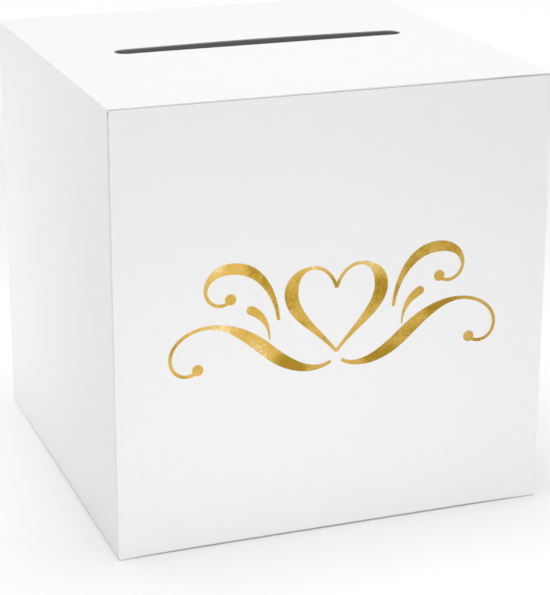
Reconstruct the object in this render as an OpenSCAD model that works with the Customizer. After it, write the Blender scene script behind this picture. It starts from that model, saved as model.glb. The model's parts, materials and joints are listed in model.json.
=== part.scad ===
// Wedding card box: a cube-shaped folding carton of white solid board. Four panels folded round
// the middle make a tube that lies on its side: base, left wall, top and right wall, closed by a
// glued seam inside the right wall. The front and the back are closures hinged on the base's
// edges, each with a tongue that tucks in under the top panel and two dust flaps behind it.
// Envelopes go in through the slot in the top. A gold foil ornament is stamped on the front.
// Axes: X to the right, Y to the back, Z up. Origin: centre of the underside. Millimetres.

/* [Carton] */
// Outside width, left to right
box_w = 240; // [205:1:320]
// Outside depth, front to back
box_d = 240; // [180:1:320]
// Outside height
box_h = 240; // [180:1:320]
// Thickness of the board
board_t = 0.6; // [0.4:0.05:0.9]
// Outside radius of the four long folds that stay folded
fold_r = 1.0; // [0.9:0.1:2.0]
// Running gap round the rounded edge of a fold that opens
fold_gap = 0.1; // [0.05:0.01:0.15]
// Air between two layers of board that lie over each other
layer_gap = 0.3; // [0.2:0.05:0.5]

/* [Closures] */
// How far a closure's side edges stand in from the outside of the box
closure_side_gap = 0.4; // [0.2:0.1:1.0]
// Length of a tuck tongue, fold to free edge
tongue_l = 22; // [14:1:32]
// Radius of the tongue's two free corners
tongue_corner_r = 12; // [4:1:13]
// Width of a dust flap, fold to free edge
dust_flap_l = 70; // [40:1:85]
// Radius of the dust flaps' free corners
flap_corner_r = 8; // [2:1:15]

/* [Glued seam] */
// Height of the glue flap inside the right wall
glue_flap_h = 20; // [14:1:30]
// Thickness of the line of adhesive
adhesive_t = 0.1; // [0.05:0.01:0.2]
// How far the adhesive stays in from the glue flap's edges
adhesive_inset = 4; // [2:0.5:5]

/* [Card slot] */
// Length of the slot, end to end
slot_l = 168; // [120:1:180]
// Width of the slot, which is also the diameter of its round ends
slot_w = 12.5; // [8:0.5:25]
// Middle of the slot to the right of the middle of the top
slot_x = 3; // [-8:0.5:8]
// Middle of the slot behind the middle of the top
slot_y = 5; // [-40:1:40]

/* [Foil ornament] */
// Height of the ornament's middle above the table
foil_z = 126; // [70:1:150]
// Scale of the ornament: 1 is 184 mm across
foil_scale = 1; // [0.6:0.05:1.08]
// How far the foil stands proud of the board
foil_t = 0.06; // [0.04:0.01:0.1]
// Width of the hairlines
hairline_w = 1.8; // [1.2:0.1:2.4]
// Width of the heavy strokes
heavy_w = 7.5; // [4:0.5:9]
// Diameter of the round ends of the scrolls
ball_d = 6; // [4:0.5:7]

/* [Hidden] */
$fn = 48;

board_white = [0.96, 0.96, 0.95];
foil_gold = [0.79, 0.63, 0.25];
adhesive_clear = [0.85, 0.82, 0.72];

half_w = box_w / 2;
half_d = box_d / 2;
half_t = board_t / 2;

// Every fold that opens is a full round on the moving panel's edge, centred in its thickness,
// and the panel it hangs on ends this far from the fold's axis
fold_stop = half_t + fold_gap;
// Depth from the outside of a closure to its fold axis on the base, and that axis's height
closure_axis = half_t;
// Depth from the outside of a closure to the middle of the dust flaps behind it
flap_axis_depth = board_t + layer_gap + half_t;
// Half the length of the walls, and half the depth of the base
wall_half_d = half_d - flap_axis_depth - fold_stop;
base_half_d = half_d - closure_axis - fold_stop;

// The tongue takes this share of its closure's turn when the box is opened
tongue_turn = 0.5;
// A closure's height from its fold on the base to its fold with the tongue
tongue_axis_z = box_h - board_t - layer_gap - half_t;
closure_h = tongue_axis_z - closure_axis;
// The tongue leans down so that its free edge clears the top as the closure swings out:
// the swing lifts that edge by (length * (1 + turn))^2 / (2 * height), and a little is spare
tongue_spare_deg = 0.5;
tongue_droop = asin(tongue_l * (1 + tongue_turn) * (1 + tongue_turn) / (2 * closure_h)) + tongue_spare_deg;
// The closure ends below the leaning tongue's thickness
tongue_fold_stop = half_t / cos(tongue_droop) + half_t * tan(tongue_droop) + fold_gap;
tongue_half_w = half_w - fold_r - layer_gap;
// The tongue narrows by this much on each side towards its free edge
tongue_taper = 4;

// The dust flaps' lower edges rise at just over 45 degrees, so that a flap that turns out with
// its closure stays clear of it. The upper edges fall at the usual slight taper
flap_lower_deg = 46;
flap_upper_deg = 15;
flap_bottom = board_t + layer_gap;
flap_top = tongue_axis_z - tongue_l * sin(tongue_droop) - half_t - layer_gap;

// Outside of the glue flap, which lies against the adhesive on the right wall's inside
glue_flap_x = half_w - board_t - adhesive_t;
// The glue flap's ends stand in from the walls' ends and slope
glue_flap_end = 3;
glue_flap_slope = 6;
glue_half_d = wall_half_d - glue_flap_end;

// A corner b between a and c, rounded to radius r, as the points of its arc
arc_steps = 8;
function unit(v) = v / norm(v);
function corner(a, b, c, r) =
    r == 0 ? [b] :
    let (to_a = unit(a - b), to_c = unit(c - b), half = acos(to_a * to_c) / 2)
    let (middle = b + unit(to_a + to_c) * r / sin(half))
    let (start = b + to_a * r / tan(half) - middle, stop = b + to_c * r / tan(half) - middle)
    let (from = atan2(start.y, start.x), turn = atan2(stop.y, stop.x) - from)
    let (sweep = turn > 180 ? turn - 360 : turn < -180 ? turn + 360 : turn)
    [for (i = [0 : arc_steps])
        middle + r * [cos(from + sweep * i / arc_steps), sin(from + sweep * i / arc_steps)]];
function rounded(points, radii) =
    let (n = len(points))
    [for (i = [0 : n - 1]) each corner(points[(i + n - 1) % n], points[i], points[(i + 1) % n], radii[i])];

// A round edge of a fold that opens, along X and centred on the origin
module round_edge_x(length) {
    rotate([0, 90, 0]) cylinder(h = length, r = half_t, center = true);
}

// A quarter of a bent tube along Y: the bend between a wall on its left and a panel under it
module bend(length) {
    rotate([90, 0, 0]) translate([0, 0, -length / 2])
        rotate_extrude(angle = 90) translate([fold_r - board_t, 0]) square([board_t, length]);
}

// ---- the tube ----

module base_panel() {
    left = -half_w + fold_r;
    color(board_white)
        translate([left, -base_half_d, 0])
            cube([glue_flap_x - fold_r - left, 2 * base_half_d, board_t]);
}

// A side wall on the left, with the bend to the top panel at its top
module side_wall(bottom_z) {
    translate([-half_w, -wall_half_d, bottom_z])
        cube([board_t, 2 * wall_half_d, box_h - fold_r - bottom_z]);
    translate([-half_w + fold_r, 0, box_h - fold_r])
        mirror([1, 0, 0]) bend(box_d);
}

module left_wall() {
    color(board_white) {
        side_wall(fold_r);
        translate([-half_w + fold_r, 0, fold_r])
            rotate([0, 180, 0]) bend(2 * wall_half_d);
    }
}

// The right wall ends in a raw edge on the table, outside the glued seam
module right_wall() {
    color(board_white) mirror([1, 0, 0]) side_wall(0);
}

module slot_outline() {
    straight = slot_l - slot_w;
    square([straight, slot_w], center = true);
    for (side = [-1, 1]) translate([side * straight / 2, 0]) circle(d = slot_w);
}

module top_panel() {
    color(board_white)
        translate([0, 0, box_h - board_t]) difference() {
            translate([-half_w + fold_r, -half_d, 0]) cube([box_w - 2 * fold_r, box_d, board_t]);
            translate([slot_x, slot_y, -board_t])
                linear_extrude(height = 3 * board_t) slot_outline();
        }
}

module glue_flap() {
    outline = [
        [-glue_half_d, fold_r], [glue_half_d, fold_r],
        [glue_half_d - glue_flap_slope, glue_flap_h], [-glue_half_d + glue_flap_slope, glue_flap_h]
    ];
    color(board_white) {
        translate([glue_flap_x - board_t, 0, 0])
            rotate([90, 0, 90]) linear_extrude(height = board_t) polygon(outline);
        translate([glue_flap_x - fold_r, 0, fold_r])
            rotate([0, 90, 0]) bend(2 * glue_half_d);
    }
}

module seam_adhesive() {
    half_length = glue_half_d - glue_flap_slope - adhesive_inset;
    color(adhesive_clear)
        translate([glue_flap_x, -half_length, fold_r + adhesive_inset])
            cube([adhesive_t, 2 * half_length, glue_flap_h - fold_r - 2 * adhesive_inset]);
}

// ---- a closure, made at the front and mirrored for the back ----

module closure_panel() {
    width = box_w - 2 * closure_side_gap;
    translate([-width / 2, -half_d, closure_axis])
        cube([width, board_t, closure_h - tongue_fold_stop]);
    translate([0, -half_d + closure_axis, closure_axis]) round_edge_x(width);
}

module tuck_tongue() {
    free_half_w = tongue_half_w - tongue_taper;
    outline = rounded(
        [[-tongue_half_w, 0], [tongue_half_w, 0], [free_half_w, tongue_l], [-free_half_w, tongue_l]],
        [0, 0, tongue_corner_r, tongue_corner_r]);
    translate([0, -half_d + closure_axis, tongue_axis_z]) rotate([-tongue_droop, 0, 0]) {
        translate([0, 0, -half_t]) linear_extrude(height = board_t) polygon(outline);
        round_edge_x(2 * tongue_half_w);
    }
}

module left_dust_flap() {
    outline = rounded(
        [[0, flap_bottom], [dust_flap_l, flap_bottom + dust_flap_l * tan(flap_lower_deg)],
         [dust_flap_l, flap_top - dust_flap_l * tan(flap_upper_deg)], [0, flap_top]],
        [0, flap_corner_r, flap_corner_r, 0]);
    translate([-half_w + half_t, -half_d + flap_axis_depth, 0]) {
        translate([0, half_t, 0]) rotate([90, 0, 0]) linear_extrude(height = board_t) polygon(outline);
        translate([0, 0, flap_bottom]) cylinder(h = flap_top - flap_bottom, r = half_t);
    }
}

// What is made at the left or the front, mirrored to the right or the back
module at_right() {
    mirror([1, 0, 0]) children();
}

module at_back() {
    mirror([0, 1, 0]) children();
}

module front_panel() {
    color(board_white) closure_panel();
}

module front_tuck_tongue() {
    color(board_white) tuck_tongue();
}

module front_left_dust_flap() {
    color(board_white) left_dust_flap();
}

module front_right_dust_flap() {
    color(board_white) at_right() left_dust_flap();
}

module back_panel() {
    color(board_white) at_back() closure_panel();
}

module back_tuck_tongue() {
    color(board_white) at_back() tuck_tongue();
}

module back_left_dust_flap() {
    color(board_white) at_back() left_dust_flap();
}

module back_right_dust_flap() {
    color(board_white) at_back() at_right() left_dust_flap();
}

// ---- the foil ornament: pen strokes that swell and thin along Bezier curves ----

bezier_steps = 16;
function bezier(p, t) =
    pow(1 - t, 3) * p[0] + 3 * pow(1 - t, 2) * t * p[1] + 3 * (1 - t) * t * t * p[2] + pow(t, 3) * p[3];
function bezier_slope(p, t) =
    pow(1 - t, 2) * (p[1] - p[0]) + 2 * (1 - t) * t * (p[2] - p[1]) + t * t * (p[3] - p[2]);
// One side of a stroke: side is 1 for the left of its line and -1 for the right
function stroke_side(line, widths, side) =
    let (spans = (len(line) - 1) / 3)
    [for (k = [0 : spans - 1], i = [0 : k == spans - 1 ? bezier_steps : bezier_steps - 1])
        let (p = [for (j = [0 : 3]) line[3 * k + j]], t = i / bezier_steps)
        let (along = unit(bezier_slope(p, t)), ease = (1 - cos(180 * t)) / 2)
        bezier(p, t) + side * [-along.y, along.x] * (widths[k] * (1 - ease) + widths[k + 1] * ease) / 2];
function reversed(list) = [for (i = [len(list) - 1 : -1 : 0]) list[i]];
module stroke(line, widths) {
    outline = concat(stroke_side(line, widths, 1), reversed(stroke_side(line, widths, -1)));
    linear_extrude(height = foil_t) polygon(foil_scale * outline);
}

// Each line is a chain of Bezier spans round the ornament's middle, for its right half
heart_line = [
    [0, 10], [2, 17], [7, 22], [13, 22], [20, 22], [25, 16], [25, 9],
    [25, -3], [10, -12], [0, -25]
];
heart_widths = [hairline_w, hairline_w, heavy_w, hairline_w];

// From under the heart's tip, out and up through the long swash to its curled end
long_scroll_line = [
    [3, -30], [12, -36], [26, -31], [38, -20], [50, -9], [62, -2], [74, -4],
    [86, -6], [93, -15], [90, -23], [88, -29], [80, -31], [76, -26]
];
long_scroll_widths = [hairline_w, heavy_w, hairline_w, hairline_w, hairline_w];

// From beside the heart, over the top and round into its curl
upper_scroll_line = [
    [32, -4], [33, 8], [40, 24], [54, 26], [66, 28], [73, 20], [71, 13],
    [69, 7], [61, 5], [58, 10]
];
upper_scroll_widths = [hairline_w, heavy_w * 0.8, hairline_w, hairline_w];

// A drop between the two scrolls
drop_line = [[37, -14], [37, -6], [41, 0], [47, 3]];
drop_widths = [hairline_w / 2, ball_d * 0.8];

// Lays a ball on a stroke's free end
module ball(line, d) {
    translate(foil_scale * line[len(line) - 1])
        cylinder(h = foil_t, d = foil_scale * d);
}

module right_scrolls() {
    stroke(long_scroll_line, long_scroll_widths);
    ball(long_scroll_line, ball_d);
    stroke(upper_scroll_line, upper_scroll_widths);
    ball(upper_scroll_line, ball_d);
    stroke(drop_line, drop_widths);
    ball(drop_line, drop_widths[1]);
}

// Stands a design, laid flat round the origin, on the front panel's face
module stamped() {
    translate([0, -half_d, foil_z]) rotate([90, 0, 0]) children();
}

module foil_scrolls() {
    color(foil_gold) stamped() {
        right_scrolls();
        at_right() right_scrolls();
    }
}

module foil_heart() {
    color(foil_gold) stamped() {
        stroke(heart_line, heart_widths);
        at_right() stroke(heart_line, heart_widths);
    }
}

base_panel();
left_wall();
top_panel();
right_wall();
glue_flap();
seam_adhesive();
front_panel();
front_tuck_tongue();
front_left_dust_flap();
front_right_dust_flap();
back_panel();
back_tuck_tongue();
back_left_dust_flap();
back_right_dust_flap();
foil_scrolls();
foil_heart();
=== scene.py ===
"""Looks of the wedding card box: white solid board, die-cut and folded, gold foil on its front.

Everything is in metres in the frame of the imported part: X to the right, Y to the back, Z up, the
origin at the centre of the underside. Sizes in millimetres are multiplied by MM. Boards are made
flat, as they are cut, from an outline in (u, v), and a rule for each one takes a point of the flat
sheet and its depth in the board to its place.
"""
import json
import math

import bmesh
import bpy
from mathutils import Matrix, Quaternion, Vector, geometry


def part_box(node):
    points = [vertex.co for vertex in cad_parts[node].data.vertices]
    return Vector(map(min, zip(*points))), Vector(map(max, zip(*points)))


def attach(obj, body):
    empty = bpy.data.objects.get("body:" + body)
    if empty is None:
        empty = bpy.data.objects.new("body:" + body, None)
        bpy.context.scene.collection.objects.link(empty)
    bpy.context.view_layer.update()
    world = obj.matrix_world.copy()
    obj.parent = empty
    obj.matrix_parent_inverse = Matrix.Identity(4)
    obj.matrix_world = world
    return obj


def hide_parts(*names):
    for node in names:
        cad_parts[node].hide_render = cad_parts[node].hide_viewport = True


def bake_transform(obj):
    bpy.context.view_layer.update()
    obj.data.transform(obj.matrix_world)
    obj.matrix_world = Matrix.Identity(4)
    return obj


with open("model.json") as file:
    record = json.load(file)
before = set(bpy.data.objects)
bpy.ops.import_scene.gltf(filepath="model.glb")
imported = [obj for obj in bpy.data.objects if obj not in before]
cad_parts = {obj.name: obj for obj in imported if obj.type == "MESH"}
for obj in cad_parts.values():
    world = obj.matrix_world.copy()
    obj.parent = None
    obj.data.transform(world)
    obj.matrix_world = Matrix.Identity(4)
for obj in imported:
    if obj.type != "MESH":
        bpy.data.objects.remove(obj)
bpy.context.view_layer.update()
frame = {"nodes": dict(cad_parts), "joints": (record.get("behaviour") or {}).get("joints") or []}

MM = 0.001

# ---- sizes taken from the frame ----

base_low, base_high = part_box("base_panel")
top_low, top_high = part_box("top_panel")
wall_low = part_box("left_wall")[0]
right_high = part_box("right_wall")[1]
glue_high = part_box("glue_flap")[1]

BOARD = base_high.z - base_low.z
HALF_BOARD = BOARD / 2
BOX_W = right_high.x - wall_low.x
BOX_D = top_high.y - top_low.y
BOX_H = top_high.z
# The outside radius of the folds that stay folded is what the top panel leaves to the walls
FOLD_R = top_low.x - wall_low.x
JOINT_AT = {joint["name"]: Vector(joint["pos_m"]) for joint in frame["joints"]}
# How far a panel stops short of the axis of a fold that opens, and half the length of the walls
FOLD_LEG = base_low.y - JOINT_AT["front_open"].y
WALL_END = -JOINT_AT["front_left_flap_fold"].y - FOLD_LEG
# The corners of the card slot's reach, read off the hole in the top panel's own solid
slot_rim = [v.co for v in frame["nodes"]["top_panel"].data.vertices
            if abs(v.co.x) < top_high.x - MM and abs(v.co.y) < top_high.y - MM]
SLOT_LOW = Vector((min(p.x for p in slot_rim), min(p.y for p in slot_rim)))
SLOT_HIGH = Vector((max(p.x for p in slot_rim), max(p.y for p in slot_rim)))

# ---- how boards are meshed ----

# Flat stretches of board are meshed in squares of about this size, and bends in this many steps
MESH_STEP = 8 * MM
BEND_STEPS = 6
# A rounding error under this share of a step doesn't ask for one more step
STEP_SLACK = 1e-6
# Points inside a board keep this share of a mesh step away from its outlines
MESH_ROOM = 0.3
# A side that strays less than this from u or v runs along it, and a cut nearer to a side's end
# than this share of the side is left out
STRAIGHT = 1e-9
CUT_ROOM = 1e-4
# Points nearer than this are one point, on a flat sheet and on the foil
SHEET_WELD = 1e-7
FOIL_WELD = 0.001 * MM
# Edges that turn by more than this stay sharp, on a sheet and on a bend
SHARP_SHEET = math.radians(35)
SHARP_BEND = math.radians(50)
# A board's material slots: its outside, its inside and its cut edge
ON_OUTSIDE, ON_INSIDE, ON_EDGE = range(3)

# ---- how the boards sit ----

# How far the panels stand proud in their middles: board springs out a little between its folds
CLOSURE_BOW = 0.15 * MM
TOP_BOW = 0.8 * MM
WALL_BOW = 0.5 * MM
# The share of its bow that the top has along its front and back edges
TOP_EDGE_SHARE = 0.05
# The top's front edge lifts off the tucked tongue near its right end. The higher its powers, the
# nearer to the corner the lift is held down, and the faster it fades behind the edge
EDGE_LIFT = 0.3 * MM
EDGE_LIFT_X = 104 * MM
EDGE_LIFT_WIDTH = 24 * MM
EDGE_LIFT_HOLD = 12
EDGE_LIFT_FADE = 8
# The slot's long edges part where cards go in: the back one springs up by this and the front one
# sags by it, most in their middle
LIP_BOW = 0.35 * MM
LIP_REACH = 25 * MM
LIP_POWER = 1.5
# How far the base's front and back edges spring up, and how far in that reaches
BASE_LIFT = 0.65 * MM
LIFT_REACH = 30 * MM
# How far the fold between base and left wall stands off the table, and how it runs out at the back
SIDE_LIFT = 0.35 * MM
SIDE_RUN_OUT = 90 * MM
# The higher this power, the nearer to its corners the base's lifted edges are held down
LIFT_HOLD = 6
# How far the closures stand off at their top left corner, and push their tongues up at the top
CORNER_OFF = 0.45 * MM
TONGUE_PUSH = 0.25 * MM
# How far the closures' sides stand in at their hinge, from the outside of the box, and at the top,
# from the sides of their solid. The power says how they taper between
HINGE_GAP = 0.05 * MM
TOP_GAP = 0.25 * MM
TAPER_POWER = 1.5

# ---- sizes of the boards' details ----

# A wall's ears stop this far short of the closures
EAR_GAP = 0.1 * MM
EAR_END = BOX_D / 2 - BOARD - EAR_GAP
# Each corner is rounded in this many steps, and each quarter of the slot's round ends in this many.
# Their radius is this share of the slot's width, just under half, so that two quarters don't meet
ROUND_STEPS = 8
SLOT_STEPS = 10
SLOT_ROUND = 0.4999
# How far a closure and its tongue stop short of their fold's axis, and how far their crease runs
# past the tongue's sides
TONGUE_LEG = 0.7 * MM
CREASE_PAST = 0.5 * MM
# A tongue narrows by this on each side towards its free edge, which has corners of this radius and
# curls down by this. It is meshed in this many steps from fold to free edge
TONGUE_TAPER = 4 * MM
TONGUE_CORNER = 12 * MM
TONGUE_CURL = 0.5 * MM
TONGUE_STEPS = 6
# From its fold a dust flap's lower edge rises at this angle, and its upper edge falls at this one.
# Its free edge has corners of this radius, and springs this far away from the closure
FLAP_LOWER_ANGLE = math.radians(46)
FLAP_UPPER_ANGLE = math.radians(15)
FLAP_CORNER = 8 * MM
FLAP_SPRING = 0.4 * MM
# The glue flap narrows by this at each end
GLUE_SLOPE = 6 * MM
# A creasing rule raises a bead on the inside of each fold
BEAD_R = 0.4 * MM
BEAD_RISE = 0.25 * MM
BEAD_SIDES = 10
# Nicks are what is left of the bridges that held the blank in its sheet until it was stripped out.
# Each is a stub of this size times a share of its own, from the least one up to 1
NICK_R = 0.28 * MM
NICK_TIP_R = 0.15 * MM
NICK_LENGTH = 0.5 * MM
NICK_SIDES = 7
NICK_LEAST_SHARE = 0.6
# How far from the middle of a long edge its outer nicks are
NICK_REACH = 80 * MM

# ---- camera, light and table ----

# Camera: where it stands, which way it looks, its lens and sensor in millimetres, and its clipping
CAMERA_AT = (-0.3635, -1.0233, 0.4626)
CAMERA_TOWARDS = (0.3244, 0.8891, -0.3229)
LENS, SENSOR = 120.2, 36
CLIP_NEAR, CLIP_FAR = 0.01, 500
# The even light all around, and the softboxes in it. Each has its name, where it stands, the point
# that it faces, its width and height, its power, and the degrees through which its light spreads
EVEN_LIGHT = 0.522
SOFTBOXES = (
    ("overhead", (-0.1, 0.1, 2.2), (0, 0, 0.1), (2.0, 2.0), 12.2, 180),
    ("top_light", (0, 0, 1.4), (0, 0, 0.1), (0.8, 0.8), 6.0, 180),
    ("front_fill", (-0.05, -0.8, 0.14), (-0.05, -0.12, 0.08), (0.4, 0.2), 0.226, 90),
    ("front_low", (0.0, -0.5, 0.05), (0.0, -0.12, 0.015), (0.4, 0.05), 0.018, 60),
    ("left_fill", (-0.50, 0.42, 0.14), (-0.12, 0.12, 0.09), (0.3, 0.15), 0.146, 90),
    ("left_low", (-0.50, 0.35, 0.08), (-0.12, 0.12, 0.05), (0.3, 0.1), 0.018, 60),
    ("right_fill", (0.7, 0.2, 0.45), (0.15, -0.15, 0.0), (0.4, 0.4), 0.083, 90),
)
# The table, and a far larger sheet just under it that carries on to the horizon: the name of each,
# the length of its sides and how far it lies below the box
TABLES = (("table", 12, 0.05 * MM), ("table_beyond", 600, 1 * MM))
# How far from the middle of the box the table starts to glow, how far from it the glow is full, and
# how strong the full glow is
GLOW_FROM, GLOW_FULL, GLOW = 0.6, 1.3, 0.3


def hump(share):
    """0 at both ends of a panel and 1 in its middle."""
    return math.sin(math.pi * min(max(share, 0.0), 1.0))


def bell(distance, width):
    """1 at no distance, and next to nothing from twice the width on."""
    return math.exp(-(distance / width) ** 2)


def smooth(share):
    """0 up to 0 and 1 from 1 on, with a soft run between them."""
    share = min(max(share, 0.0), 1.0)
    return share * share * (3 - 2 * share)


# ---- camera and light ----

def make_camera():
    data = bpy.data.cameras.new("camera")
    data.lens, data.sensor_width = LENS, SENSOR
    data.clip_start, data.clip_end = CLIP_NEAR, CLIP_FAR
    camera = bpy.data.objects.new("camera", data)
    camera.location = CAMERA_AT
    camera.rotation_mode = "QUATERNION"
    camera.rotation_quaternion = Vector(CAMERA_TOWARDS).to_track_quat("-Z", "Y")
    bpy.context.scene.collection.objects.link(camera)
    bpy.context.scene.camera = camera


def make_softbox(name, place, aim, size, power, angle):
    data = bpy.data.lights.new(name, "AREA")
    data.shape, data.size, data.size_y, data.energy = "RECTANGLE", size[0], size[1], power
    data.spread = math.radians(angle)
    light = bpy.data.objects.new(name, data)
    light.location = place
    light.visible_camera = False
    light.rotation_mode = "QUATERNION"
    light.rotation_quaternion = (Vector(aim) - Vector(place)).to_track_quat("-Z", "Y")
    bpy.context.scene.collection.objects.link(light)


def make_studio():
    world = bpy.data.worlds.new("studio")
    bpy.context.scene.world = world
    world.use_nodes = True
    background = world.node_tree.nodes["Background"]
    background.inputs["Color"].default_value = (1, 1, 1, 1)
    background.inputs["Strength"].default_value = EVEN_LIGHT
    for softbox in SOFTBOXES:
        make_softbox(*softbox)
    bpy.context.scene.view_settings.view_transform = "Standard"


# ---- materials ----

# A mix node's sockets for numbers and for colours have the same names, so they go by their places:
# the share, the two numbers or colours that are mixed, and the mix that comes out
SHARE = 0
NUMBER_A, NUMBER_B, MIXED_NUMBER = 2, 3, 0
COLOUR_A, COLOUR_B, MIXED_COLOUR = 6, 7, 2


def srgb(code):
    """A hex colour such as F2F2F0, turned from sRGB to linear."""
    def linear(value):
        return value / 12.92 if value <= 0.04045 else ((value + 0.055) / 1.055) ** 2.4
    return tuple(linear(int(code[i:i + 2], 16) / 255) for i in (0, 2, 4)) + (1.0,)


def add(tree, kind, links, **settings):
    """Adds a node with its settings. links gives each input, by its name or number, a value or the
    output of another node."""
    node = tree.nodes.new(kind)
    for key, value in settings.items():
        setattr(node, key, value)
    for key, value in links.items():
        if isinstance(value, bpy.types.NodeSocket):
            tree.links.new(value, node.inputs[key])
        else:
            node.inputs[key].default_value = value
    return node


def new_material(name, **shader):
    """A material with a Principled shader whose constant inputs are given. Returns it, its tree,
    its shader and its Object coordinates."""
    material = bpy.data.materials.new(name)
    material.use_nodes = True
    tree = material.node_tree
    tree.nodes.clear()
    place = add(tree, "ShaderNodeTexCoord", {}).outputs["Object"]
    constants = {key.replace("_", " "): value for key, value in shader.items()}
    principled = add(tree, "ShaderNodeBsdfPrincipled", constants)
    add(tree, "ShaderNodeOutputMaterial", {"Surface": principled.outputs["BSDF"]})
    return material, tree, principled, place


def board_material(name, light, dark, roughness, cloud, fibre, relief, through=0.0):
    """Pressed paper fibre: its formation gives faint clouds, some millimetres across on its faces,
    and its fibres a fine tooth. Fibres are about 0.03 mm thick, which is too fine to show, so their
    tooth is drawn coarser. through is the strength of a painted glow: the faces give out a faint
    light in their own colour for the little light that comes through the board from its other side."""
    material, tree, principled, place = new_material(
        name, Roughness=roughness, Specular_IOR_Level=0.4, IOR=1.5)
    clouds = add(tree, "ShaderNodeTexNoise",
                 {"Vector": place, "Scale": 1 / cloud, "Detail": 3.0, "Roughness": 0.55})
    fibres = add(tree, "ShaderNodeTexNoise",
                 {"Vector": place, "Scale": 1 / fibre, "Detail": 4.0, "Roughness": 0.65})
    tone = add(tree, "ShaderNodeMix",
               {SHARE: 0.35, NUMBER_A: clouds.outputs[0], NUMBER_B: fibres.outputs[0]},
               data_type="FLOAT")
    ramp = add(tree, "ShaderNodeMapRange",
               {"Value": tone.outputs[MIXED_NUMBER], "From Min": 0.35, "From Max": 0.65})
    colour = add(tree, "ShaderNodeMix",
                 {SHARE: ramp.outputs[0], COLOUR_A: srgb(dark), COLOUR_B: srgb(light)},
                 data_type="RGBA")
    bump = add(tree, "ShaderNodeBump",
               {"Height": fibres.outputs[0], "Strength": 0.25, "Distance": relief})
    tree.links.new(colour.outputs[MIXED_COLOUR], principled.inputs["Base Color"])
    tree.links.new(bump.outputs[0], principled.inputs["Normal"])
    # Painted glow: the faces give out a faint light in their own colour, as strong as through, in
    # place of light that comes through the board
    principled.inputs["Emission Color"].default_value = srgb(light)
    principled.inputs["Emission Strength"].default_value = through
    return material


def gold_foil_material():
    """Hot-stamped foil: vapour-coated metal in a gold lacquer, pressed into the board's tooth. It
    lies not quite flat, so it takes the light in soft patches a few centimetres across: they are
    bumped, and their light and dark are painted reflections in its colour as well. The tooth gives
    it a speckle, in its roughness and painted into its colour, which is drawn about a millimetre
    coarse so that it shows."""
    material, tree, principled, place = new_material("hot_stamped_gold_foil", Metallic=1.0)
    patch, grain, relief = 22 * MM, 1.2 * MM, 0.12 * MM
    patches = add(tree, "ShaderNodeTexNoise", {"Vector": place, "Scale": 1 / patch, "Detail": 2.0})
    speckle = add(tree, "ShaderNodeTexNoise", {"Vector": place, "Scale": 1 / grain, "Detail": 4.0})
    relief_and_painted_light = add(tree, "ShaderNodeMix",
                 {SHARE: 0.3, NUMBER_A: patches.outputs[0], NUMBER_B: speckle.outputs[0]},
                 data_type="FLOAT").outputs[MIXED_NUMBER]
    # Painted reflections: the patches and speckle run from dark to pale gold in the base colour
    ramp = add(tree, "ShaderNodeValToRGB", {"Fac": relief_and_painted_light})
    stops = ((0.38, "A07F26"), (0.46, "BF9D45"), (0.52, "CCA754"), (0.58, "CFAB5A"),
             (0.66, "EAD096"))
    for k, (at, code) in enumerate(stops):
        # A new ramp already has two stops
        stop = ramp.color_ramp.elements[k] if k < 2 else ramp.color_ramp.elements.new(at)
        stop.position, stop.color = at, srgb(code)
    rough = add(tree, "ShaderNodeMapRange",
                {"Value": speckle.outputs[0], "From Min": 0.3, "From Max": 0.7,
                 "To Min": 0.28, "To Max": 0.46})
    bump = add(tree, "ShaderNodeBump", {"Height": relief_and_painted_light, "Strength": 0.4, "Distance": relief})
    tree.links.new(ramp.outputs[0], principled.inputs["Base Color"])
    tree.links.new(rough.outputs[0], principled.inputs["Roughness"])
    tree.links.new(bump.outputs[0], principled.inputs["Normal"])
    return material


def adhesive_material():
    """A dried line of dispersion adhesive: a dull, slightly yellow film with small bubbles."""
    material, tree, principled, place = new_material("dried_adhesive", Roughness=0.45, IOR=1.48)
    bubble, relief = 2 * MM, 0.1 * MM
    bubbles = add(tree, "ShaderNodeTexVoronoi", {"Vector": place, "Scale": 1 / bubble})
    ramp = add(tree, "ShaderNodeMapRange",
               {"Value": bubbles.outputs["Distance"], "To Min": 0.3, "To Max": 1.0})
    colour = add(tree, "ShaderNodeMix",
                 {SHARE: ramp.outputs[0], COLOUR_A: srgb("CFC6A8"), COLOUR_B: srgb("E4DECB")},
                 data_type="RGBA")
    bump = add(tree, "ShaderNodeBump",
               {"Height": ramp.outputs[0], "Strength": 0.4, "Distance": relief})
    tree.links.new(colour.outputs[MIXED_COLOUR], principled.inputs["Base Color"])
    tree.links.new(bump.outputs[0], principled.inputs["Normal"])
    return material


def table_material():
    """A matt white sweep with the faintest of patches. Further off it is lit from below, so that it
    turns to plain white."""
    material, tree, principled, place = new_material("white_table", Roughness=0.9)
    patch = 250 * MM
    patches = add(tree, "ShaderNodeTexNoise", {"Vector": place, "Scale": 1 / patch})
    colour = add(tree, "ShaderNodeMix",
                 {SHARE: patches.outputs[0], COLOUR_A: srgb("FAFAFA"), COLOUR_B: srgb("FCFCFC")},
                 data_type="RGBA")
    far = add(tree, "ShaderNodeVectorMath", {0: place}, operation="LENGTH")
    glow = add(tree, "ShaderNodeMapRange",
               {"Value": far.outputs["Value"], "From Min": GLOW_FROM, "From Max": GLOW_FULL,
                "To Max": GLOW}, interpolation_type="SMOOTHSTEP")
    tree.links.new(colour.outputs[MIXED_COLOUR], principled.inputs["Base Color"])
    tree.links.new(glow.outputs[0], principled.inputs["Emission Strength"])
    principled.inputs["Emission Color"].default_value = (1, 1, 1, 1)
    return material


# ---- flat outlines ----

def spread(low, high, step=MESH_STEP):
    """Evenly spaced places from low to high, no more than a step apart."""
    count = max(1, math.ceil((high - low) / step - STEP_SLACK))
    return [low + (high - low) * k / count for k in range(count + 1)]


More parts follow.
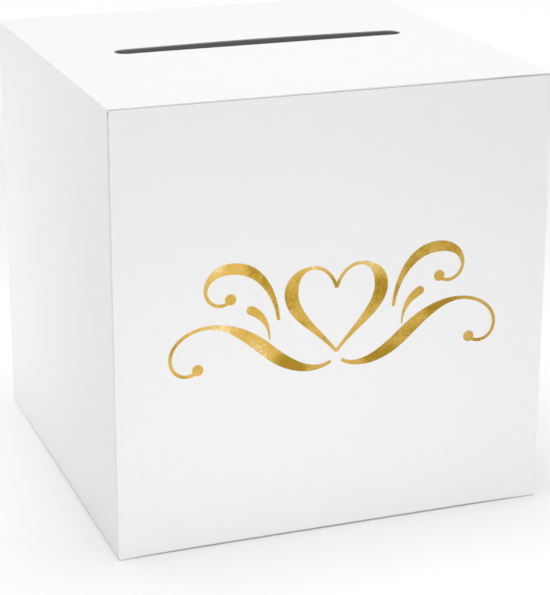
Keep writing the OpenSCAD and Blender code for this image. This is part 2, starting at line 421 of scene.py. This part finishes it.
def rounded(corners, radii, steps=ROUND_STEPS):
    """The outline with these corners, each rounded to its radius."""
    points = []
    for k, (corner, radius) in enumerate(zip(corners, radii)):
        corner, before = Vector(corner), Vector(corners[k - 1])
        after = Vector(corners[(k + 1) % len(corners)])
        if radius == 0:
            points.append(corner)
            continue
        back, on = (before - corner).normalized(), (after - corner).normalized()
        half = back.angle(on) / 2
        middle = corner + (back + on).normalized() * radius / math.sin(half)
        start = corner + back * radius / math.tan(half) - middle
        turn = -start.angle_signed(corner + on * radius / math.tan(half) - middle)
        for i in range(steps + 1):
            c, s = math.cos(turn * i / steps), math.sin(turn * i / steps)
            points.append(middle + Vector((start.x * c - start.y * s, start.x * s + start.y * c)))
    return points


def on_mesh_lines(outline, us, vs):
    """The outline with a point wherever a side along u or v crosses a line of the mesh, and at each
    step of a slanted side."""
    points = []
    for k, point in enumerate(outline):
        side = outline[(k + 1) % len(outline)] - point
        if abs(side.y) < STRAIGHT:
            cuts = [(u - point.x) / side.x for u in us]
        elif abs(side.x) < STRAIGHT:
            cuts = [(v - point.y) / side.y for v in vs]
        else:
            count = math.ceil(side.length / MESH_STEP)
            cuts = [i / count for i in range(count)]
        points.append(point)
        points += [point + side * cut for cut in sorted(cuts) if CUT_ROOM < cut < 1 - CUT_ROOM]
    return points


def rectangle(us, vs):
    """The outline of a rectangular sheet."""
    corners = ((us[0], vs[0]), (us[-1], vs[0]), (us[-1], vs[-1]), (us[0], vs[-1]))
    return [Vector(corner) for corner in corners]


def mirrored(half):
    """The outline whose right half has these points, and whose left half mirrors them."""
    return [Vector(p) for p in half] + [Vector((-u, v)) for u, v in reversed(half)]


def inside(point, outline):
    """Whether a point lies inside an outline: a line from it to the right crosses it an odd number
    of times."""
    odd = False
    for k, a in enumerate(outline):
        b = outline[k - 1]
        if (a.y > point.y) != (b.y > point.y):
            if point.x < (b.x - a.x) * (point.y - a.y) / (b.y - a.y) + a.x:
                odd = not odd
    return odd


# ---- boards ----

def finished(name, shape, materials, sharp=SHARP_SHEET):
    """The object made of a bmesh, with its materials, smooth apart from its sharp edges."""
    bmesh.ops.recalc_face_normals(shape, faces=shape.faces)
    mesh = bpy.data.meshes.new(name)
    shape.to_mesh(mesh)
    shape.free()
    for material in materials:
        mesh.materials.append(material)
    mesh.shade_smooth()
    mesh.set_sharp_from_angle(angle=sharp)
    made = bpy.data.objects.new(name, mesh)
    bpy.context.scene.collection.objects.link(made)
    return made


def flat_mesh(outline, hole, us, vs):
    """The points and faces of a flat sheet. us and vs are the lines of its mesh, and hole is the
    outline of its hole, or empty."""
    edge = on_mesh_lines(outline, us, vs)
    borders = edge + hole
    flat = list(borders)
    room = MESH_ROOM * min(us[1] - us[0], vs[1] - vs[0])
    for u in us:
        for v in vs:
            point = Vector((u, v))
            if inside(point, edge) and not (hole and inside(point, hole)):
                if all((point - other).length > room for other in borders):
                    flat.append(point)
    sides = [(k, (k + 1) % len(edge)) for k in range(len(edge))]
    sides += [(len(edge) + k, len(edge) + (k + 1) % len(hole)) for k in range(len(hole))]
    only_inside = 1
    points, _, faces, *_ = geometry.delaunay_2d_cdt(flat, sides, [], only_inside, SHEET_WELD)
    if hole:
        middles = [sum((points[k] for k in face), Vector((0, 0))) / len(face) for face in faces]
        faces = [face for face, middle in zip(faces, middles) if not inside(middle, hole)]
    return points, faces


def cut_board(name, outline, us, vs, to_place, hole=()):
    """A closed sheet of board from its flat outline. to_place takes (u, v) and the depth below the
    outside to a point."""
    points, faces = flat_mesh(outline, list(hole), us, vs)
    uses = {}
    for face in faces:
        for a, b in zip(face, face[1:] + face[:1]):
            uses.setdefault(frozenset((a, b)), []).append((a, b))

    sheet = bmesh.new()
    outer = [sheet.verts.new(to_place(p.x, p.y, 0.0)) for p in points]
    inner = [sheet.verts.new(to_place(p.x, p.y, BOARD)) for p in points]
    for face in faces:
        sheet.faces.new([outer[k] for k in face]).material_index = ON_OUTSIDE
        sheet.faces.new([inner[k] for k in reversed(face)]).material_index = ON_INSIDE
    # A side that only one face uses is on the edge of the sheet
    for a, b in (found[0] for found in uses.values() if len(found) == 1):
        sheet.faces.new([outer[b], outer[a], inner[a], inner[b]]).material_index = ON_EDGE
    loose = [v for v in sheet.verts if not v.link_faces]
    bmesh.ops.delete(sheet, geom=loose, context="VERTS")
    return finished(name, sheet, (OUTSIDE, INSIDE, CUT_EDGE))


def stand_in(board, node, body):
    """The board is shown in the place of its node and moves with its body."""
    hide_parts(node)
    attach(board, body)


def moving_fold(name, at, into_parent, into_child, span, leg, shift=None):
    """The bent stretch of board between two panels whose fold opens. at is the fold's axis, in the
    middle of the board. into_parent and into_child point from it into the two panels, which end
    one leg from it, and span is its reach along the axis. shift moves a point of it out of the
    flat. It is made in the closed shape of the fold."""
    into_parent, into_child = Vector(into_parent).normalized(), Vector(into_child).normalized()
    start, end = at + into_parent * leg, at + into_child * leg
    along = into_parent.cross(into_child).normalized()
    turn = math.pi - into_parent.angle(into_child)
    radius = leg / math.tan(turn / 2)
    centre = at + (into_parent + into_child).normalized() * radius / math.cos(turn / 2)
    arm = (start - centre).normalized()
    arms = [Quaternion(along, -turn * k / BEND_STEPS) @ arm for k in range(BEND_STEPS + 1)]
    rises = [BEAD_RISE * hump(k / BEND_STEPS) for k in range(BEND_STEPS + 1)]
    ring = [centre + arm * (radius + HALF_BOARD) for arm in arms]
    ring += [centre + arm * (radius - HALF_BOARD - rise)
             for arm, rise in zip(reversed(arms), rises)]
    kinds = [ON_EDGE] + [ON_OUTSIDE] * BEND_STEPS + [ON_EDGE] + [ON_INSIDE] * BEND_STEPS

    sheet = bmesh.new()
    rings = []
    for reach in spread(*span):
        # The axis runs along X, Y or Z, forwards or backwards, which its sum tells
        foot = along * (reach * sum(along) - at.dot(along))
        places = [p + foot for p in ring]
        rings.append([sheet.verts.new(p + shift(p) if shift else p) for p in places])
    for one, two in zip(rings, rings[1:]):
        for k, kind in enumerate(kinds):
            sheet.faces.new([one[k - 1], one[k], two[k], two[k - 1]]).material_index = kind
    for cap in (rings[0], rings[-1]):
        sheet.faces.new(cap).material_index = ON_EDGE
    fold = finished(name, sheet, (OUTSIDE, INSIDE, CUT_EDGE), SHARP_BEND)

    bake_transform(fold)


# ---- beads and nicks ----

def geometry_tree(name, **inputs):
    """An empty geometry tree with these inputs, and the sockets that give them."""
    tree = bpy.data.node_groups.new(name, "GeometryNodeTree")
    for key, kind in inputs.items():
        tree.interface.new_socket(key, in_out="INPUT", socket_type="NodeSocket" + kind)
    tree.interface.new_socket("Geometry", in_out="OUTPUT", socket_type="NodeSocketGeometry")
    return tree, add(tree, "NodeGroupInput", {}).outputs


def end_tree(tree, shape, material):
    """The tree's last nodes: plain faces and their material."""
    plain = add(tree, "GeometryNodeRealizeInstances", {0: shape})
    finish = add(tree, "GeometryNodeSetMaterial",
                 {"Geometry": plain.outputs[0], "Material": material})
    add(tree, "NodeGroupOutput", {0: finish.outputs[0]})
    return tree


def bead_tree():
    """A round bead along a straight fold."""
    tree, given = geometry_tree("crease_bead", Start="Vector", End="Vector", Radius="Float",
                                Board="Material")
    line = add(tree, "GeometryNodeCurvePrimitiveLine",
               {"Start": given["Start"], "End": given["End"]})
    ring = add(tree, "GeometryNodeCurvePrimitiveCircle",
               {"Resolution": BEAD_SIDES, "Radius": given["Radius"]})
    bead = add(tree, "GeometryNodeCurveToMesh",
               {"Curve": line.outputs[0], "Profile Curve": ring.outputs[0], "Fill Caps": True})
    return end_tree(tree, bead.outputs[0], given["Board"])


def nick_tree():
    """Torn stubs of board, evenly spaced along a raw edge and no two of one size."""
    tree, given = geometry_tree("die_cut_nicks", Start="Vector", End="Vector", Outward="Vector",
                                Count="Int", Radius="Float", Length="Float", Seed="Int",
                                Board="Material")
    line = add(tree, "GeometryNodeCurvePrimitiveLine",
               {"Start": given["Start"], "End": given["End"]})
    spots = add(tree, "GeometryNodeCurveToPoints",
                {"Curve": line.outputs[0], "Count": given["Count"]}, mode="COUNT")
    stub = add(tree, "GeometryNodeMeshCone",
               {"Vertices": NICK_SIDES, "Radius Bottom": given["Radius"],
                "Radius Top": NICK_TIP_R, "Depth": given["Length"]})
    facing = add(tree, "FunctionNodeAlignRotationToVector",
                 {"Vector": given["Outward"]}, axis="Z")
    # Where a random value is a number, inputs 2 and 3 are its range's ends, and output 1 gives it
    torn = add(tree, "FunctionNodeRandomValue",
               {2: NICK_LEAST_SHARE, 3: 1.0, "Seed": given["Seed"]}, data_type="FLOAT")
    stubs = add(tree, "GeometryNodeInstanceOnPoints",
                {"Points": spots.outputs[0], "Instance": stub.outputs[0],
                 "Rotation": facing.outputs[0], "Scale": torn.outputs[1]})
    return end_tree(tree, stubs.outputs[0], given["Board"])


def grown(name, tree, body, **values):
    """A piece of board made by a geometry tree from these values. It moves with its body."""
    piece = bpy.data.objects.new(name, bpy.data.meshes.new(name))
    bpy.context.scene.collection.objects.link(piece)
    modifier = piece.modifiers.new("grow", "NODES")
    modifier.node_group = tree
    for socket in tree.interface.items_tree:
        if socket.name in values:
            modifier[socket.identifier] = values[socket.name]
    piece.update_tag()
    shaped = piece.evaluated_get(bpy.context.evaluated_depsgraph_get())
    mesh = bpy.data.meshes.new_from_object(shaped)
    piece.modifiers.clear()
    # A mesh made in a tree starts with an empty material slot, so the slots are laid out afresh
    mesh.materials.clear()
    mesh.materials.append(values["Board"])
    mesh.polygons.foreach_set("material_index", [0] * len(mesh.polygons))
    mesh.shade_smooth()
    mesh.set_sharp_from_angle(angle=SHARP_BEND)
    piece.data = mesh
    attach(piece, body)


def bead(name, x, z, half):
    """The bead inside a fold of the tube that stays folded. x and z are the middle of its bend, and
    half is half its length."""
    up = 1 if z > BOX_H / 2 else -1
    to_corner = Vector((math.copysign(1, x), 0, up)).normalized()
    at, reach = Vector((x, 0, z)) + to_corner * (FOLD_R - BOARD), Vector((0, half, 0))
    grown(name + "_bead", BEADS, "tube", Start=at - reach, End=at + reach, Radius=BEAD_R,
          Board=INSIDE)


def nicks(name, start, end, outward, count, body):
    """The nicks from start to end on a raw edge, each pointing outward."""
    grown(name + "_nicks", NICKS, body, Start=start, End=end, Outward=outward, Count=count,
          Radius=NICK_R, Length=NICK_LENGTH, Seed=len(name), Board=CUT_EDGE)


# ---- the tube ----

def base_lift(x, y):
    """How far the base springs up along its front and back edges, so that they stand just clear of
    the table. It draws in as far as it lifts: then both sides of the edge's fold stay level when
    the fold opens."""
    across, from_edge = x / (BOX_W / 2), (BOX_D / 2 - abs(y)) / LIFT_REACH
    return BASE_LIFT * (1 - across ** LIFT_HOLD) * (1 - smooth(from_edge))


def side_lift(y):
    """How far the base's left edge springs up: steeply from the front corner, and gently from the
    back one."""
    held = 1 - (2 * y / BOX_D) ** LIFT_HOLD
    return SIDE_LIFT * held * smooth((BOX_D / 2 - y) / SIDE_RUN_OUT)


def make_base():
    us, vs = spread(base_low.x, base_high.x), spread(base_low.y, base_high.y)

    def place(u, v, depth):
        lift = base_lift(u, v)
        left = side_lift(v) * (1 - smooth((u - base_low.x) / LIFT_REACH))
        return Vector((u, v - math.copysign(lift, v), depth + lift + left))

    board = cut_board("base_board", rectangle(us, vs), us, vs, place)
    stand_in(board, "base_panel", "tube")


def make_wall(side):
    """A side wall with its bends: side is -1 on the left and 1 on the right. The left wall bends
    into the base, and the right one ends in a raw edge on the table. u runs along the box and v up
    the wall, 0 at its flat foot."""
    bent_foot = side < 0
    foot = FOLD_R if bent_foot else 0.0
    straight, arc = BOX_H - FOLD_R - foot, FOLD_R * math.pi / 2
    low = -arc if bent_foot else 0.0
    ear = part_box("front_left_dust_flap")[1].z - foot
    us = [-BOX_D / 2, -EAR_END] + spread(-WALL_END, WALL_END) + [EAR_END, BOX_D / 2]
    vs = spread(0.0, ear) + spread(ear, straight)[1:]
    vs += spread(straight, straight + arc, arc / BEND_STEPS)[1:]
    if bent_foot:
        vs = spread(low, 0.0, arc / BEND_STEPS)[:-1] + vs
    # Above the dust flaps the wall has ears that reach out to the closures, and its bend at the top
    # runs the whole depth
    outline = mirrored([(WALL_END, low), (WALL_END, ear), (EAR_END, ear), (EAR_END, straight),
                        (BOX_D / 2, straight), (BOX_D / 2, straight + arc)])

    def place(u, v, depth):
        proud = WALL_BOW * hump(0.5 + u / (2 * WALL_END)) * hump(v / straight)
        lift = side_lift(u) * (1 - smooth(v / LIFT_REACH)) if bent_foot else 0.0
        if 0 <= v <= straight:
            return Vector((side * (BOX_W / 2 + proud - depth), u, foot + v + lift))
        up, turn = (1, (v - straight) / FOLD_R) if v > 0 else (-1, -v / FOLD_R)
        r = FOLD_R - depth
        centre_z = foot + lift + (straight if v > 0 else 0.0)
        x, z = BOX_W / 2 - FOLD_R + r * math.cos(turn), centre_z + up * r * math.sin(turn)
        return Vector((side * x, u, z))

    word = "left" if side < 0 else "right"
    board = cut_board(word + "_wall_board", outline, us, vs, place)
    stand_in(board, word + "_wall", "tube")
    bend_x = side * (BOX_W / 2 - FOLD_R)
    bead(word + "_top_fold", bend_x, BOX_H - FOLD_R, WALL_END)
    if bent_foot:
        bead(word + "_foot_fold", bend_x, FOLD_R + SIDE_LIFT, WALL_END)


def top_rise(x, y):
    """The top springs up between its folds, its front edge lifts a little near the right, and its
    slot gapes."""
    share_x = (x - top_low.x) / (top_high.x - top_low.x)
    share_y = (y - top_low.y) / (top_high.y - top_low.y)
    rise = TOP_BOW * hump(share_x) * (TOP_EDGE_SHARE + (1 - TOP_EDGE_SHARE) * hump(share_y))
    held = (1 - (x / top_high.x) ** EDGE_LIFT_HOLD) * (1 - share_y) ** EDGE_LIFT_FADE
    rise += EDGE_LIFT * bell(x - EDGE_LIFT_X, EDGE_LIFT_WIDTH) * held
    along = (x - SLOT_LOW.x) / (SLOT_HIGH.x - SLOT_LOW.x)
    behind = y - (SLOT_LOW.y + SLOT_HIGH.y) / 2
    gape = math.copysign(LIP_BOW, behind) * hump(along) ** LIP_POWER
    return rise + gape * bell(behind, LIP_REACH)


def slot_outline():
    """The card slot with its round ends."""
    low, high = SLOT_LOW, SLOT_HIGH
    corners = [(low.x, low.y), (high.x, low.y), (high.x, high.y), (low.x, high.y)]
    ends = rounded(corners, [(high.y - low.y) * SLOT_ROUND] * 4, SLOT_STEPS)
    return on_mesh_lines(ends, spread(top_low.x, top_high.x), [])


def make_top():
    us, vs = spread(top_low.x, top_high.x), spread(top_low.y, top_high.y)

    def place(u, v, depth):
        return Vector((u, v, BOX_H + top_rise(u, v) - depth))

    board = cut_board("top_board", rectangle(us, vs), us, vs, place, hole=slot_outline())
    stand_in(board, "top_panel", "tube")


def make_glue_flap():
    """The glue flap stands inside the right wall's foot, on its own bend from the base."""
    arc, height, half = FOLD_R * math.pi / 2, glue_high.z - FOLD_R, glue_high.y
    us = spread(-half, half)
    vs = spread(-arc, 0.0, arc / BEND_STEPS)[:-1] + spread(0.0, height)
    outline = mirrored([(half, -arc), (half, 0.0), (half - GLUE_SLOPE, height)])

    def place(u, v, depth):
        turn, r = max(-v, 0) / FOLD_R, FOLD_R - depth
        x, z = glue_high.x - FOLD_R + r * math.cos(turn), FOLD_R - r * math.sin(turn)
        return Vector((x, u, z + max(v, 0)))

    board = cut_board("glue_flap_board", outline, us, vs, place)
    stand_in(board, "glue_flap", "tube")
    bead("glue_flap_fold", glue_high.x - FOLD_R, FOLD_R, half)
    outer = [place(u, height, HALF_BOARD) for u in (-NICK_REACH, NICK_REACH)]
    nicks("glue_flap", *outer, (0, 0, 1), count=3, body="tube")


def dress_seam():
    """The seam keeps its own solid, a line of adhesive that shows at its ends only."""
    seam = frame["nodes"]["seam_adhesive"]
    seam.data.materials.clear()
    seam.data.materials.append(adhesive_material())


# ---- closures ----

def closure_shift(side, x, z):
    """How far a point of a closure's face lies out of the flat. side is 1 at the front and -1 at
    the back. A closure bows outwards, stands a little off the box at its top corner on the left,
    follows the base's lifted edge, and pushes its tongue up against the top."""
    share, from_left = z / BOX_H, 0.5 + x / BOX_W
    lift = base_lift(x, BOX_D / 2) * (1 - smooth(z / LIFT_REACH))
    out = CLOSURE_BOW * hump(share) + CORNER_OFF * share ** 2 * (1 - from_left) - lift
    return Vector((0, -side * out, TONGUE_PUSH * share + lift))


def make_closure(side):
    """The front (side 1) or back (side -1) closure: its panel, tongue, dust flaps, and the folds
    between them."""
    word = "front" if side > 0 else "back"
    to_out = Vector((0, -side, 0))
    panel_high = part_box(word + "_panel")[1]
    hinge, tongue_axis = JOINT_AT[word + "_open"], JOINT_AT[word + "_tongue_fold"]

    # The panel is as wide as the box at its hinge, and narrows to its cleared width at the top
    foot, head = hinge.z + FOLD_LEG, tongue_axis.z - TONGUE_LEG
    half_head, half_foot = panel_high.x - TOP_GAP, BOX_W / 2 - HINGE_GAP
    us, vs = spread(-half_head, half_head), spread(foot, head)

    def place(u, v, depth):
        half = half_foot + (half_head - half_foot) * (v / BOX_H) ** TAPER_POWER
        x = u * (half / half_head)
        return to_out * (BOX_D / 2 - depth) + Vector((x, 0, v)) + closure_shift(side, x, v)

    board = cut_board(word + "_closure_board", rectangle(us, vs), us, vs, place)
    stand_in(board, word + "_panel", word + "_closure")
    moving_fold(word + "_base_fold", hinge, -to_out, (0, 0, 1), (base_low.x, base_high.x),
                FOLD_LEG,
                shift=lambda p: closure_shift(side, p.x, 0))
    make_tongue(side, word, to_out, tongue_axis)
    for hand in ("left", "right"):
        make_dust_flap(word, hand, to_out)


def make_tongue(side, word, to_out, axis):
    """The tuck tongue leans down from its fold, and curls a little towards its free edge. u runs
    along the fold and v from it to the free edge."""
    low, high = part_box(word + "_tuck_tongue")
    reach, drop = high.y - low.y - HALF_BOARD, axis.z - low.z - HALF_BOARD
    length, lean = math.hypot(reach, drop), math.atan2(drop, reach)
    to_free = -to_out * math.cos(lean) + Vector((0, 0, -math.sin(lean)))
    upward = -to_out * math.sin(lean) + Vector((0, 0, math.cos(lean)))
    half = high.x
    corners = [(-half, TONGUE_LEG), (half, TONGUE_LEG), (half - TONGUE_TAPER, length),
               (TONGUE_TAPER - half, length)]
    us, vs = spread(-half, half), spread(TONGUE_LEG, length, length / TONGUE_STEPS)

    def place(u, v, depth):
        curl = TONGUE_CURL * (v / length) ** 2
        flat = axis + Vector((u, 0, 0)) + to_free * v + upward * (HALF_BOARD - depth - curl)
        return flat + closure_shift(side, u, axis.z)

    outline = rounded(corners, [0, 0, TONGUE_CORNER, TONGUE_CORNER])
    board = cut_board(word + "_tongue_board", outline, us, vs, place)
    stand_in(board, word + "_tuck_tongue", word + "_tongue")
    outer = [place(u, length, HALF_BOARD) for u in (-NICK_REACH, NICK_REACH)]
    nicks(word + "_tongue", *outer, to_free, count=3, body=word + "_tongue")
    crease_end = half + CREASE_PAST
    moving_fold(word + "_tongue_crease", axis, (0, 0, -1), to_free, (-crease_end, crease_end),
                TONGUE_LEG,
                shift=lambda p: closure_shift(side, p.x, axis.z))


def make_dust_flap(word, hand, to_out):
    """A dust flap behind its closure, which it springs away from towards its free edge. u runs from
    its fold on the wall to its free edge, and v up."""
    node = f"{word}_{hand}_dust_flap"
    low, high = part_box(node)
    axis = JOINT_AT[f"{word}_{hand}_flap_fold"]
    inward = Vector((-1 if axis.x > 0 else 1, 0, 0))
    width = high.x - low.x - HALF_BOARD
    lower, upper = math.tan(FLAP_LOWER_ANGLE), math.tan(FLAP_UPPER_ANGLE)
    bottom, top = low.z + FOLD_LEG * lower, high.z - FOLD_LEG * upper
    free_bottom, free_top = low.z + width * lower, high.z - width * upper
    corners = [(FOLD_LEG, bottom), (width, free_bottom), (width, free_top), (FOLD_LEG, top)]
    us, vs = spread(FOLD_LEG, width), spread(low.z, high.z)

    def place(u, v, depth):
        spring = FLAP_SPRING * (u / width) ** 2
        out = to_out * (HALF_BOARD - depth - spring)
        return inward * u + out + Vector((axis.x, axis.y, v))

    body = f"{word}_{hand}_flap"
    outline = rounded(corners, [0, FLAP_CORNER, FLAP_CORNER, 0])
    board = cut_board(node + "_board", outline, us, vs, place)
    stand_in(board, node, body)
    # Its two nicks are on the free edge, clear of the round corners
    nick_vs = (free_bottom + 2 * FLAP_CORNER, free_top - 2 * FLAP_CORNER)
    outer = [place(width, v, HALF_BOARD) for v in nick_vs]
    nicks(node, *outer, inward, count=2, body=body)
    moving_fold(node + "_fold", axis, -to_out, inward, (bottom, top), FOLD_LEG)


# ---- foil and table ----

def make_foil():
    """The foil follows the front board's bow, so each stamping is a copy of its node laid on that
    bow."""
    for node in ("foil_scrolls", "foil_heart"):
        shape = bmesh.new()
        shape.from_mesh(frame["nodes"][node].data)
        bmesh.ops.remove_doubles(shape, verts=shape.verts, dist=FOIL_WELD)
        for vertex in shape.verts:
            vertex.co += closure_shift(1, vertex.co.x, vertex.co.z)
        for face in shape.faces:
            face.material_index = 0
        foil = finished(node + "_stamping", shape, (FOIL,))
        foil.data.shade_flat()
        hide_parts(node)
        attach(foil, "front_closure")


def make_table():
    material = table_material()
    for name, size, depth in TABLES:
        bpy.ops.mesh.primitive_plane_add(size=size, location=(0, 0, -depth))
        table = bpy.context.object
        table.name = name
        table.data.materials.append(material)


make_camera()
# The outside is under a matt film, which evens it out: smooth and plain, with a soft sheen
OUTSIDE = board_material("matt_laminated_white_board", "F1F1F1", "F0F0F0", roughness=0.5,
                         cloud=7 * MM, fibre=0.5 * MM, relief=0.02 * MM)
# The inside is bare board: dull, a shade greyer, and toothed, with a faint painted glow for the
# daylight that comes through it
INSIDE = board_material("uncoated_white_board", "EAEAE9", "E5E5E4", roughness=0.85,
                        cloud=4 * MM, fibre=0.35 * MM, relief=0.05 * MM, through=0.026)
# A cut edge shows the board's own fibre: dry, without sheen, and unevenly white
CUT_EDGE = board_material("die_cut_board_edge", "F1F1F0", "E8E8E6", roughness=0.9,
                          cloud=0.6 * MM, fibre=0.12 * MM, relief=0.05 * MM)
FOIL = gold_foil_material()
BEADS, NICKS = bead_tree(), nick_tree()
make_base()
make_wall(-1)
make_wall(1)
make_top()
make_glue_flap()
make_closure(1)
make_closure(-1)
make_foil()
dress_seam()
make_table()
make_studio()
